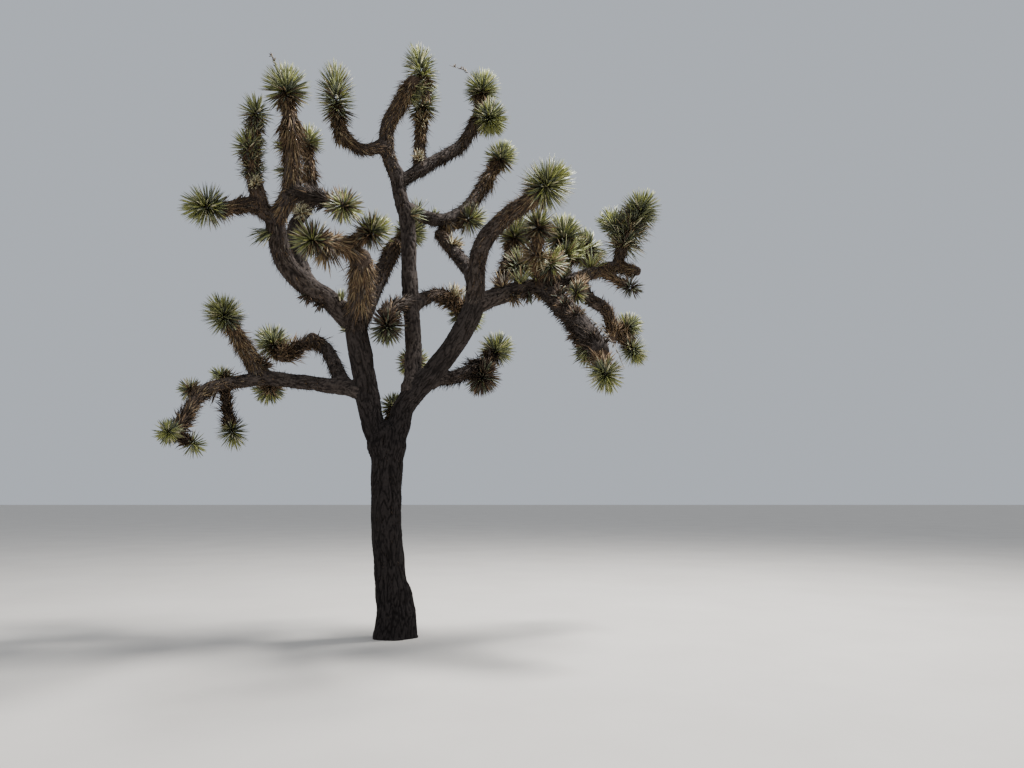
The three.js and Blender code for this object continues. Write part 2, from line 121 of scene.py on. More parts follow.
# Each mass: limb, share of its length, reach, places passed by its stem, and what else it has.
# fork is where a second stem ends, zone the heads' length and girth the first stem's at its root.
# shaft is the part of the stem that kept its leaves, and their length in metres. dead is the share of
# withered leaves in each head, and green the share of the tilt up to which leaves stay green.
MASSES = {
    "west_spire_leaves": ("west_spire", 1, 5.6, [(-21, -25, 114.5)], {}),
    "west_column_leaves": ("west_arm", 0.3, 4.1, [(-27, -26, 98), (-26, -28, 108)], {
        "fork": (-27.5, -27, 101), "girth": 1.8, "shaft": (0.35, 0.95, 0.12)}),
    "far_west_leaves": ("west_arm", 1, 5, [(-34, -30, 87.5)], {}),
    "back_leaves": ("back_bough", 1, 4.5, [(-23.5, 3, 116)], {}),
    "raised_leaves": ("low_west_arm", 1, 5.4, [(-37, 6, 65), (-40.5, 0, 72)], {"girth": 2.4}),
    "knee_leaves": ("knee_fall", 1, 5.4, [(-36, 23, 70)], {}),
    "low_west_leaves": ("low_west_arm", 0.9, 4.6, [(-33.5, 13, 57)], {}),
    "west_tuft_leaves": ("drooping_arm", 0.25, 3.3, [(-43, 7, 59)], {}),
    "far_tuft_leaves": ("drooping_arm", 0.6, 3.3, [(-48, 1, 55)], {}),
    "lowest_leaves": ("drooping_arm", 0.35, 4.4, [(-41, 6, 51), (-40, 7, 46)], {}),
    "drooping_leaves": ("drooping_arm", 1, 3.4, [(-45.5, -15, 44)], {"fork": (-43, -9, 42)}),
    "west_inner_leaves": ("west_spire", 0.32, 4.3, [(-14, -27, 91), (-7, -32, 87)], {
        "girth": 1.5, "dead": (0.35, 0), "green": 0.65}),
    "front_leaves": ("middle_bough", 1, 4.8, [(-9, -24, 82), (-13, -29, 81)], {
        "fork": (-3, -22, 85), "girth": 1.8, "dead": (0.4, 0), "green": 0.65}),
    "inner_leaves": ("inner_bough", 1, 5, [(0, 15, 97)], {}),
    "hanging_leaves": ("leader", 0.42, 4.9, [(-2, -3, 73), (-2, -5, 69)], {
        "girth": 1.5, "dead": (0.4, 0), "green": 0.5}),
    "low_inner_leaves": ("leader", 0.15, 4.6, [(2, 11, 63)], {}),
    "fork_leaves": ("trunk", 1, 3.6, [(-2.5, 3, 47.5), (-2, 5, 51.5)], {}),
    "top_west_leaves": ("top_west_arm", 1, 5.2, [(-14.5, -4, 117), (-15, -5, 122.5)], {
        "zone": 12, "girth": 1.4, "dead": (0.15, 0)}),
    "top_leaves": ("top_spire", 1, 4.8, [(4.5, 1, 130.5), (4, 1, 133)], {"zone": 9, "girth": 1.5}),
    "inner_top_leaves": ("top_east_arm", 0.2, 5, [(3, 9, 118), (3.5, 9, 129)], {
        "girth": 1.7, "zone": 9}),
    "top_east_leaves": ("top_east_arm", 1, 5.6, [(18, 21, 139)], {"fork": (20, 18, 130)}),
    "link_leaves": ("link_arm", 1, 5.2, [(23, 26, 122)], {}),
    "arched_leaves": ("arched_arm", 1, 5.6, [(14, 22, 78)], {}),
    "east_crown_leaves": ("east_crown_bough", 1, 6.2, [(33, -24, 94)], {}),
    "back_stub_leaves": ("back_stub", 1, 5, [(11, 15, 100), (15, 16, 101)], {"dead": (0.35, 0)}),
    "low_east_leaves": ("low_east_arm", 1, 5.2, [(22, 17, 67)], {"fork": (19, 12, 60), "dead": (0, 0.9)}),
    "east_near_leaves": ("east_arm", 0.13, 5.4, [(25, 6, 87), (27, 8, 94)], {
        "fork": (28, 2, 84.5), "girth": 1.3, "dead": (0.1, 0.35)}),
    "east_front_leaves": ("east_arm", 0.37, 5, [(32, -8, 85), (32, -10, 90)], {
        "dead": (0.3, 0), "green": 0.6}),
    "east_star_leaves": ("east_arm", 0.44, 4.6, [(35, -5, 83)], {"dead": (0.3, 0), "green": 0.6}),
    "east_back_leaves": ("east_arm", 0.54, 6, [(38.8, 9, 94)], {"fork": (45, 14, 92.5)}),
    "far_east_leaves": ("east_arm", 0.88, 5.6, [(53.5, 9, 91.8), (58, 10, 101)], {
        "fork": (52, 11, 97), "girth": 1.4, "shaft": (0.3, 0.95, 0.26)}),
    "east_low_leaves": ("east_arm", 0.78, 3.4, [(51.5, 6, 82.5), (54.5, 5, 80.5)], {"dead": (0.85, 0)}),
    "under_east_leaves": ("east_arm", 0.63, 3.3, [(41, -3, 77)], {"dead": (0.45, 0)}),
    "hooked_leaves": ("hooked_arm", 1, 4.6, [(56, 22, 74)], {"fork": (57, 20, 68)}),
    "hanging_end_leaves": ("hanging_arm", 1, 4.4, [(45.5, -18, 56)], {"girth": 1.8}),
}

# Curves, limbs and stems
CURVE_SAMPLES = 201
FRAME_COUNT = 96
SIDE_LIMB = 0.9  # a limb that leaves its parent below this share leaves it sideways
DOWN = np.array([0.0, 0.0, -1.0])


def unit(vectors):
    return vectors / np.maximum(np.linalg.norm(vectors, axis=-1, keepdims=True), 1e-9)


def column(values):
    return values[:, None]


def turned(first, second, angles):
    """Ways turned by the angles from the first towards the second."""
    return first * column(np.cos(angles)) + second * column(np.sin(angles))


class Curve:
    """A smooth curve through places, followed by the share of its length as in the CAD model."""

    def __init__(self, places):
        places = np.array(places, float)
        self.padded = np.vstack([2 * places[0] - places[1], places, 2 * places[-1] - places[-2]])
        self.spans = len(places) - 1
        self.times = np.linspace(0, 1, CURVE_SAMPLES)
        steps = np.linalg.norm(np.diff(self._at_times(self.times)[0], axis=0), axis=1)
        self.run = np.concatenate([[0.0], np.cumsum(steps)])
        self.length = self.run[-1]
        self.frame_shares = np.linspace(0, 1, FRAME_COUNT + 1)
        tangents = self.tangents(self.frame_shares)
        normal = np.eye(3)[np.argmin(np.abs(tangents[0]))]
        normals = []
        for tangent in tangents:
            normal = unit(normal - tangent * (normal @ tangent))
            normals.append(normal)
        self.normals = np.array(normals)

    def _at_times(self, times):
        """Places and slopes of the cubic through each four neighbouring places."""
        time = np.clip(times, 0, 1) * self.spans
        span = np.minimum(time.astype(int), self.spans - 1)
        part = column(time - span)
        before, start, end, after = (self.padded[span + k] for k in range(4))
        slope, next_slope = (end - before) / 2, (after - start) / 2
        square = 3 * (end - start) - 2 * slope - next_slope
        cube = 2 * (start - end) + slope + next_slope
        places = start + slope * part + square * part**2 + cube * part**3
        return places, slope + 2 * square * part + 3 * cube * part**2

    def _times(self, shares):
        return np.interp(np.atleast_1d(shares) * self.length, self.run, self.times)

    def points(self, shares):
        return self._at_times(self._times(shares))[0]

    def tangents(self, shares):
        return unit(self._at_times(self._times(shares))[1])

    def frames(self, shares):
        """Tangents, normals and binormals, turned as little as the curve allows."""
        shares = np.atleast_1d(shares)
        tangents = self.tangents(shares)
        carried = [np.interp(shares, self.frame_shares, self.normals[:, k]) for k in range(3)]
        normals = np.stack(carried, 1)
        normals = unit(normals - tangents * np.sum(normals * tangents, 1, keepdims=True))
        return tangents, normals, np.cross(tangents, normals)


class Wood:
    """A limb or stem: its curve, and its radius by share and angle."""

    def __init__(self, name, owner, parent, curve, radius, sideways=False):
        self.name, self.owner, self.parent = name, owner, parent
        self.curve, self.radius, self.sideways = curve, radius, sideways
        self.beyond = 0.0  # how far growth went on past its tip

    def surface(self, shares, angles, sink=0.0):
        """Places on the surface, the way out of it there, and the way along."""
        tangents, normals, binormals = self.curve.frames(shares)
        out = turned(normals, binormals, angles)
        reach = self.radius(shares, angles) - sink
        return self.curve.points(shares) + out * column(reach), out, tangents

    def age(self, shares):
        """Metres of growth since this place was a tip."""
        return self.beyond + (1 - shares) * self.curve.length


def tapering(root, tip):
    return lambda shares, angles=0: root + (tip - root) * np.asarray(shares, float)


def trunk_radius(shares, angles=0):
    shares = np.asarray(shares, float)
    near_ground = np.exp(-shares * limbs["trunk"].curve.length / FLARE_HEIGHT)
    flare = (TRUNK_FOOT - TRUNK_WAIST) * near_ground
    shoulder = (TRUNK_SHOULDER - TRUNK_WAIST) * shares**4
    lobes = 1 + LOBE_DEPTH * np.cos(FLARE_LOBES * angles) * near_ground
    return (TRUNK_WAIST + flare + shoulder) * lobes


def in_metres(places):
    return np.array(places, float) * STEP


limbs = {}
for name, (parent, at, girth, path) in LIMBS.items():
    if parent is None:
        limbs[name] = Wood(name, name, None, Curve(in_metres(path)), trunk_radius)
        continue
    curve = Curve(np.vstack([limbs[parent].curve.points(at), in_metres(path)]))
    radius = tapering(girth[0] * STEP, girth[1] * STEP)
    limbs[name] = Wood(name, name, parent, curve, radius, at < SIDE_LIMB)


GREEN_SHARE = 0.86  # where a mass gives no share of its own


class Mass:
    """One mass: its stems, each ending in the middle of a head."""

    def __init__(self, name, limb, at, reach, path, fork=None, zone=None, girth=STEM_GIRTH,
                 shaft=None, dead=(0, 0), green=GREEN_SHARE):
        self.name, self.limb, self.at = name, limb, at
        self.reach = reach * STEP
        self.core = HEAD_CORE * self.reach
        self.half = (HEAD_LENGTH * reach if zone is None else zone) * STEP / 2
        self.shaft, self.dead, self.green = shaft, dead, green
        first = Curve(np.vstack([limbs[limb].curve.points(at), in_metres(path)]))
        tip = STEM_END * self.core
        self.stems = [Wood(f"{name}_0", name, limb, first, tapering(girth * STEP, tip))]
        if fork:
            second = Curve(np.vstack([first.points(FORK_SHARE), in_metres([fork])]))
            radius = tapering(STEM_GIRTH * STEP, tip)
            self.stems.append(Wood(f"{name}_1", name, f"{name}_0", second, radius))


masses = {}
for name, (*shape, more) in MASSES.items():
    masses[name] = Mass(name, *shape, **more)


def growth_past(name, share=0.0):
    """Metres of growth past a place on a limb, along whichever branch goes furthest."""
    length = limbs[name].curve.length
    runs = [length * (1 - share)]
    for child, (parent, at, _, _) in LIMBS.items():
        if parent == name and at >= share:
            runs.append(length * (at - share) + growth_past(child))
    for mass in masses.values():
        if mass.limb == name and mass.at >= share:
            runs.append(length * (mass.at - share) + mass.stems[0].curve.length)
    return max(runs)


for name, limb in limbs.items():
    limb.beyond = growth_past(name) - limb.curve.length

stems = [stem for mass in masses.values() for stem in mass.stems]
woods = {wood.name: wood for wood in [*limbs.values(), *stems]}

# Every limb, stem and head as places with a size, for the clearances
SAMPLES = np.linspace(0, 1, 25)
NEARBY = 0.5  # wood this far past twice a head's reach can't touch its leaves
FAR = 1  # the gap to wood where none is near
wood_places = np.vstack([wood.curve.points(SAMPLES) for wood in woods.values()])
wood_radii = np.concatenate([wood.radius(SAMPLES) for wood in woods.values()])
wood_owners = np.repeat([wood.owner for wood in woods.values()], len(SAMPLES))
head_places = np.vstack([stem.curve.points(1) for stem in stems])
head_reaches = np.array([masses[stem.owner].reach for stem in stems])
head_owners = np.array([stem.owner for stem in stems])


def in_own_space(places, owner, middle, reach):
    """The CAD model's rule: nearer its own head than any other mass's, and clear of wood and ground."""
    own = np.linalg.norm(places - middle, axis=1) - reach + MASS_CLEARANCE
    other = head_owners != owner
    gaps = np.linalg.norm(places[:, None] - head_places[other], axis=2) - head_reaches[other]
    near = (wood_owners != owner) & (np.linalg.norm(wood_places - middle, axis=1) < 2 * reach + NEARBY)
    wood = np.linalg.norm(places[:, None] - wood_places[near], axis=2) - wood_radii[near]
    clear_of_wood = wood.min(axis=1, initial=FAR) > LIMB_CLEARANCE
    return (places[:, 2] >= GROUND_CLEARANCE) & (gaps.min(axis=1) >= own) & clear_of_wood


# Materials
MIX_FACTOR, MIX_FIRST, MIX_SECOND, MIX_RESULT = 0, 6, 7, 2  # the mix node's sockets for colours
NOISE_ROUGHNESS = 0.6


def scaled(colour, factor):
    return tuple(factor * part for part in colour)


class Nodes:
    """A new material and a short way to add and link its nodes."""

    def __init__(self, name):
        self.material = bpy.data.materials.new(name)
        self.material.use_nodes = True
        self.tree = self.material.node_tree
        self.shader = self.tree.nodes["Principled BSDF"]

    def add(self, kind, inputs=None, **settings):
        node = self.tree.nodes.new(kind)
        for key, value in settings.items():
            setattr(node, key, value)
        for key, value in (inputs or {}).items():
            if isinstance(value, bpy.types.NodeSocket):
                self.tree.links.new(value, node.inputs[key])
            else:
                node.inputs[key].default_value = value
        return node

    def attribute(self, name, output):
        return self.add("ShaderNodeAttribute", attribute_name=name).outputs[output]

    def place(self):
        return self.add("ShaderNodeTexCoord").outputs["Object"]

    def noise(self, vector, scale, detail):
        inputs = {"Vector": vector, "Scale": scale, "Detail": detail, "Roughness": NOISE_ROUGHNESS}
        return self.add("ShaderNodeTexNoise", inputs).outputs[0]

    def ramp(self, factor, stops):
        node = self.add("ShaderNodeValToRGB", {0: factor})
        elements = node.color_ramp.elements
        while len(elements) < len(stops):
            elements.new(0.5)
        for element, (position, colour) in zip(elements, stops):
            element.position = position
            element.color = (*colour, 1)
        return node.outputs[0]

    def mix(self, factor, first, second):
        inputs = {MIX_FACTOR: factor, MIX_FIRST: first, MIX_SECOND: second}
        return self.add("ShaderNodeMix", inputs, data_type="RGBA").outputs[MIX_RESULT]

    def maths(self, operation, first, second):
        return self.add("ShaderNodeMath", {0: first, 1: second}, operation=operation).outputs[0]

    def finish(self, colour, height, bump, distance, roughness, gloss):
        """Joins the colour and the bumps to the shader."""
        inputs = {"Height": height, "Strength": bump, "Distance": distance}
        bumps = self.add("ShaderNodeBump", inputs).outputs[0]
        self.tree.links.new(bumps, self.shader.inputs["Normal"])
        self.tree.links.new(colour, self.shader.inputs["Base Color"])
        self.shader.inputs["Roughness"].default_value = roughness
        self.shader.inputs["Specular IOR Level"].default_value = gloss
        return self.material


RELIEF_SHARE, FIBRE_SHARE, CRUMB_SHARE = 0.62, 0.42, 0.5
YOUNG_FURROW = 0.3  # of the young bark's brightness
WEATHERED_BRIGHTNESS = 1.25
LEAF_VARIETY = 0.25  # how much darker or lighter patches of leaves are
DULL = 0.6  # leaves rougher than this are dead, and shine less
LEAF_GLOSS, DEAD_GLOSS = 0.3, 0.1


def bark_material(name, furrow, middle, ridge, young):
    """Bark from furrow to ridge, and rusty where it is young."""
    nodes = Nodes(name)
    grain = nodes.attribute("grain", "Vector")
    relief = nodes.attribute("relief", "Fac")
    youth = nodes.attribute("youth", "Fac")
    place = nodes.place()
    fibres = nodes.noise(grain, scale=90, detail=4)
    blotches = nodes.noise(place, scale=5, detail=4)
    crumbs = nodes.noise(place, scale=160, detail=3)
    ridges = nodes.maths("MULTIPLY", relief, RELIEF_SHARE)
    tone = nodes.maths("ADD", ridges, nodes.maths("MULTIPLY", fibres, FIBRE_SHARE))
    bark = nodes.ramp(tone, [(0.18, furrow), (0.5, middle), (0.86, ridge)])
    rust = nodes.ramp(tone, [(0.2, scaled(young, YOUNG_FURROW)), (0.8, young)])
    colour = nodes.mix(youth, bark, rust)
    patches = nodes.ramp(blotches, [(0.45, (0, 0, 0)), (0.7, (0.5, 0.5, 0.5))])
    weathered = nodes.mix(patches, colour, (*scaled(middle, WEATHERED_BRIGHTNESS), 1))
    height = nodes.maths("ADD", fibres, nodes.maths("MULTIPLY", crumbs, CRUMB_SHARE))
    return nodes.finish(weathered, height, bump=0.7, distance=0.006, roughness=0.95, gloss=0.1)


def leaf_material(name, colour, roughness):
    nodes = Nodes(name)
    place = nodes.place()
    patches = nodes.noise(place, scale=14, detail=2)
    darker, lighter = scaled(colour, 1 - LEAF_VARIETY), scaled(colour, 1 + LEAF_VARIETY)
    tone = nodes.ramp(patches, [(0.35, darker), (0.65, lighter)])
    veins = nodes.noise(place, scale=220, detail=2)
    gloss = LEAF_GLOSS if roughness < DULL else DEAD_GLOSS
    return nodes.finish(tone, veins, bump=0.25, distance=0.001, roughness=roughness, gloss=gloss)


# Trunk bark: its own dark bark, made darker still to stand for the shade on the trunk, so partly painted
# shade.
TRUNK_BARK_AND_SHADE = bark_material(
    "trunk_bark_rough",
    furrow=(0.0055, 0.0045, 0.0042),
    middle=(0.0135, 0.0112, 0.0107),
    ridge=(0.033, 0.0275, 0.026),
    young=(0.085, 0.068, 0.058),
)
# Limb bark: its own bark, darkened to stand for the shade on the limbs' near sides, so partly painted shade.
LIMB_BARK_AND_SHADE = bark_material(
    "limb_bark_rough",
    furrow=(0.009, 0.0075, 0.0065),
    middle=(0.034, 0.027, 0.024),
    ridge=(0.085, 0.068, 0.058),
    young=(0.115, 0.077, 0.05),
)
LEAF_LOOKS = {
    "young": ("young_leaves", leaf_material("leaf_yellow_green", (0.325, 0.34, 0.105), 0.45)),
    "green": ("green_leaves", leaf_material("leaf_olive", (0.225, 0.24, 0.11), 0.45)),
    "old": ("old_leaves", leaf_material("leaf_grey_green", (0.11, 0.121, 0.08), 0.5)),
    # Cream leaves: partly pale dead leaves, partly painted highlights where leaves face the light.
    "pale": ("pale_leaves", leaf_material("leaf_cream", (0.58, 0.54, 0.35), 0.5)),
    "dry": ("dry_leaves", leaf_material("leaf_straw", (0.3, 0.225, 0.125), 0.7)),
    "rust": ("rust_thatch", leaf_material("thatch_cinnamon", (0.18, 0.12, 0.07), 0.8)),
    "brown": ("brown_thatch", leaf_material("thatch_brown", (0.08, 0.058, 0.043), 0.85)),
    "umber": ("umber_thatch", leaf_material("thatch_umber", (0.038, 0.029, 0.023), 0.85)),
    "grey": ("grey_thatch", leaf_material("thatch_silver", (0.2, 0.175, 0.14), 0.85)),
}


def new_mesh(name, verts, tris):
    mesh = bpy.data.meshes.new(name)
    mesh.vertices.add(len(verts))
    mesh.vertices.foreach_set("co", np.asarray(verts, np.float32).ravel())
    mesh.loops.add(3 * len(tris))
    mesh.loops.foreach_set("vertex_index", np.asarray(tris, np.int32).ravel())
    mesh.polygons.add(len(tris))
    mesh.polygons.foreach_set("loop_start", np.arange(0, 3 * len(tris), 3, dtype=np.int32))
    mesh.update(calc_edges=True)
    return mesh


def new_object(name, data):
    thing = bpy.data.objects.new(name, data)
    bpy.context.scene.collection.objects.link(thing)
    return thing


def add_piece(mesh, name, material, nodes):
    piece = new_object(name, mesh)
    mesh.materials.append(material)
    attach(piece, "root")
    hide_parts(*nodes)


def skin_between(rings, sides):
    """Triangles between rings of corners that follow one another."""
    tris = []
    for ring in range(rings - 1):
        for side in range(sides):
            here, beside = ring * sides + side, ring * sides + (side + 1) % sides
            tris += [(here, beside, beside + sides), (here, beside + sides, here + sides)]
    return tris


# Blades: leaves and dead leaves
KEEL = 0.32  # of a blade's width
# A blade's rings of three corners: share of its length, and of its width
PROFILES = {1: ((0, 1),), 2: ((0, 0.8), (0.55, 0.85)), 3: ((0, 0.75), (0.35, 1), (0.74, 0.6))}


class Blades:
    """Many closed three-sided blades of one look, gathered before they are joined into one piece."""

    def __init__(self):
        self.verts, self.tris, self.count, self.nodes = [], [], 0, set()

    def add(self, roots, along, flat, lengths, widths, bends, rings, owner):
        """Blades from their roots along their directions. Flat is the way their upper face looks."""
        if len(roots) == 0:
            return
        flat = unit(flat - along * np.sum(flat * along, 1, keepdims=True))
        side = np.cross(along, flat)

        def spine(share):
            return roots + along * column(lengths * share) + flat * column(bends * lengths * share**2)

        corners = []
        for share, girth in PROFILES[rings]:
            centre = spine(share)
            half = side * column(widths * girth / 2)
            corners += [centre - half, centre + half, centre - flat * column(widths * girth * KEEL)]
        corners.append(spine(1))
        last, tip = 3 * (rings - 1), 3 * rings
        tris = [(0, 2, 1), *skin_between(rings, 3)]
        tris += [(last + k, last + (k + 1) % 3, tip) for k in range(3)]
        offsets = self.count + (tip + 1) * np.arange(len(roots))
        self.tris.append((offsets[:, None, None] + np.array(tris)[None]).reshape(-1, 3))
        self.verts.append(np.stack(corners, 1).reshape(-1, 3))
        self.count += (tip + 1) * len(roots)
        self.nodes.add(owner)


blades = {look: Blades() for look in LEAF_LOOKS}


def deal(rng, shares, count):
    """A look for each of count blades, dealt out by the shares."""
    looks = list(shares)
    weights = np.array([shares[look] for look in looks], float)
    return np.array(looks)[rng.choice(len(looks), count, p=weights / weights.sum())]


def add_by_look(looks, owner, roots, along, flat, lengths, widths, bends, rings, shown=True):
    """Adds the shown blades, each to those of its look. Flat may be one way for all of them."""
    if flat.ndim == 1:
        flat = np.tile(flat, (len(roots), 1))
    for look in np.unique(looks):
        here = shown & (looks == look)
        blades[look].add(roots[here], along[here], flat[here], lengths[here], widths[here], bends[here],
                         rings, owner)


# Heads
HEAD_SEED, SEED_STEP, SHAFT_SEED = 40, 7, 400
GOLDEN_TURN = math.pi * (1 + math.sqrt(5))
BALL_SCATTER, LEAF_SCATTER = 1.2, 0.07
USUAL_REACH = 0.25
LEAF_COUNT = 6400  # for each square metre of the reach
LONG_HEAD = 1.2  # how many times more leaves a head has that is as long as twice its reach
LEAF_WIDTH = 0.0196  # at the usual reach
ROOT_OUT, ROOT_UP = 0.6, 0.8  # where leaves are rooted: of the core, and of the head's half length
UNDER_CORE, UNDER_EDGE = 0.4, 0.2  # the part of a leaf inside the head's core, whose edge is longer
THINNING = 0.1  # the share of the oldest leaves that has fallen
SHORT_AGE, SHORTENED = 0.85, 0.85  # past this age leaves are shorter
YOUNG_AGE, YOUNG_BLEND = 0.32, 0.12
GREEN_BLEND = 0.08
# The pale leaves among the living ones are partly painted highlights.
YOUNG_LOOKS = dict(young=5, green=3.5, pale=0.5)
GROWN_LOOKS = dict(green=4.5, old=4, young=2, pale=1.1)
DYING_LOOKS = dict(dry=1.3, rust=1.2, brown=4, pale=0.3, old=2)
SHADED_MASSES = ("hanging_leaves",)
SHADED_DEAD = 0.8  # a head with more withered leaves than this is shaded too
SHADE = {"green": "old", "young": "green", "pale": "old", "dry": "brown"}
SKIRT_COUNT = 190  # at the usual reach
SKIRT_ROOT, SKIRT_DROOP = 0.7, 0.18
# The skirt is mostly dark brown: partly the dead leaves' own colour, partly painted shade under the head.
SKIRT_AND_SHADE_LOOKS = dict(rust=3, dry=1.2, brown=5, grey=0.3)
SHAFT_COUNT = 900  # for each metre
SHAFT_SINK, SHAFT_LEAF = 0.015, 0.85
SHAFT_LOOKS = dict(old=4, green=3, brown=2, dry=1, pale=0.7)


def ball_points(count, rng):
    """Points spread evenly over a unit ball, a little out of place. The second column is its axis."""
    numbers = np.arange(count) + 0.5
    height = 1 - 2 * numbers / count
    turn = GOLDEN_TURN * numbers + 2 * math.pi * rng.random()
    ring = np.sqrt(1 - height**2)
    points = np.stack([ring * np.cos(turn), height, ring * np.sin(turn)], 1)
    return unit(points + rng.normal(0, BALL_SCATTER / math.sqrt(count), points.shape))


def head_looks(mass, age, dead, rng):
    """Looks by age, from young at the tip to dying. Dead is the share of leaves that are withered."""
    count = len(age)
    looks = np.where(
        age < YOUNG_AGE + YOUNG_BLEND * rng.standard_normal(count),
        deal(rng, YOUNG_LOOKS, count),
        deal(rng, GROWN_LOOKS, count),
    )
    dying = age > mass.green + GREEN_BLEND * rng.standard_normal(count)
    withered = deal(rng, DYING_LOOKS, count)
    looks = np.where(dying | (rng.random(count) < dead), withered, looks)
    if mass.name in SHADED_MASSES or dead > SHADED_DEAD:
        for bright, dull in SHADE.items():
            looks[looks == bright] = dull
    return looks


def grow_head(mass, stem, dead, rng):
    """One head: leaves stand on a long ball and point out from it. The lowest are dead."""
    middle = stem.curve.points(1)[0]
    axis, normal, binormal = (way[0] for way in stem.curve.frames(1))
    longer = max(1, (mass.half / mass.reach) ** 0.5 * LONG_HEAD)
    count = int(LEAF_COUNT * mass.reach**2 * longer)
    feet = ball_points(count, rng)
    up = column(feet[:, 1])
    across = feet[:, :1] * normal + feet[:, 2:] * binormal
    along = unit(across + axis * up + rng.normal(0, LEAF_SCATTER, feet.shape))
    roots = middle + across * (ROOT_OUT * mass.core) + axis * (up * mass.half * ROOT_UP)
    edge = np.linalg.norm(across * mass.core + axis * (up * mass.half), axis=1)
    growing = rng.random(count) < 0.5
    grown = np.where(growing, rng.uniform(0.6, 0.9, count), rng.uniform(LEAF_SHORTEST, 1, count))
    lengths = (mass.reach - mass.core) * grown + UNDER_CORE * mass.core + UNDER_EDGE * edge
    tilt = np.arccos(np.clip(feet[:, 1], -1, 1))
    clear = tilt < TILT_OLDEST
    for share in LEAF_CHECKS:
        clear &= in_own_space(roots + along * column(share * lengths), mass.name, middle, mass.reach)
    age = tilt / TILT_OLDEST
    shown = clear & (rng.random(count) > THINNING * age)
    lengths = lengths * np.where(age > SHORT_AGE, SHORTENED, 1)
    looks = head_looks(mass, age, dead, rng)
    widths = LEAF_WIDTH * rng.uniform(0.8, 1.15, count) * (mass.reach / USUAL_REACH) ** 0.5
    bends = rng.normal(0, 0.03, count) - 0.02
    add_by_look(looks, mass.name, roots, along, axis, lengths, widths, bends, 3, shown)
    grow_skirt(mass, middle, axis, normal, binormal, rng)


def grow_skirt(mass, middle, axis, normal, binormal, rng):
    """Dead leaves under the head, bent back along its stem."""
    count = int(SKIRT_COUNT * (mass.reach / USUAL_REACH) ** 2)
    turn = rng.uniform(0, 2 * math.pi, count)
    drop = rng.uniform(-1.5, -0.65, count)
    out = turned(normal, binormal, turn)
    roots = middle + axis * column(drop * mass.half) + out * (mass.core * SKIRT_ROOT)
    splay = np.clip(rng.uniform(10, 70, count) * (1.6 + drop), 8, 75)
    along = unit(turned(-axis, out, np.radians(splay)) + DOWN * SKIRT_DROOP)
    lengths = (mass.reach - mass.core) * rng.uniform(0.4, 0.75, count)
    shown = in_own_space(roots + along * column(lengths), mass.name, middle, mass.reach)
    # dark browns here are partly painted shade under the head
    looks = deal(rng, SKIRT_AND_SHADE_LOOKS, count)
    widths = LEAF_WIDTH * rng.uniform(0.7, 1.05, count)
    bends = rng.normal(0.05, 0.08, count)
    add_by_look(looks, mass.name, roots, along, out, lengths, widths, bends, 2, shown)


def grow_shaft(mass, stem, rng):
    """Short leaves up a stem that kept them."""
    start, end, length = mass.shaft
    count = int(SHAFT_COUNT * (end - start) * stem.curve.length)
    shares, angles = rng.uniform(start, end, count), rng.uniform(0, 2 * math.pi, count)
    roots, out, tangents = stem.surface(shares, angles, SHAFT_SINK)
    rise = np.radians(rng.uniform(-35, 30, count))
    along = unit(turned(out, tangents, rise))
    lengths = length * rng.uniform(0.75, 1.2, count)
    looks = deal(rng, SHAFT_LOOKS, count)
    widths = np.full(count, LEAF_WIDTH * SHAFT_LEAF)
    bends = rng.normal(0, 0.04, count)
    add_by_look(looks, mass.name, roots, along, tangents, lengths, widths, bends, 3)


for index, mass in enumerate(masses.values()):
    for stem, dead in zip(mass.stems, mass.dead):
        seed = HEAD_SEED + SEED_STEP * index + len(stem.name)
        grow_head(mass, stem, dead, np.random.default_rng(seed))
    if mass.shaft:
        grow_shaft(mass, mass.stems[0], np.random.default_rng(SHAFT_SEED + index))

# Tufts on the wood, and dry flower stalks
TUFT_SEED, STALK_SEED = 700, 800
TUFT_ROOT = 0.8  # of the wood's radius
TUFT_WIDTH = 0.02  # how far apart a tuft's leaves are rooted
TUFT_SCATTER, ROOT_SCATTER = 0.1, 0.012
TUFT_LEAF = 0.9
FRESH = dict(green=5, old=3, young=1, pale=0.6, dry=1)
SUNLIT = dict(green=5, young=3, old=1.5, dry=1, brown=1)
WITHERED = dict(dry=3, brown=3, grey=2, rust=1)
SHADED = dict(brown=6, rust=1, old=1)
PALE = dict(pale=6, dry=2, grey=2)
BLEACHED = dict(dry=4, pale=3, grey=2)
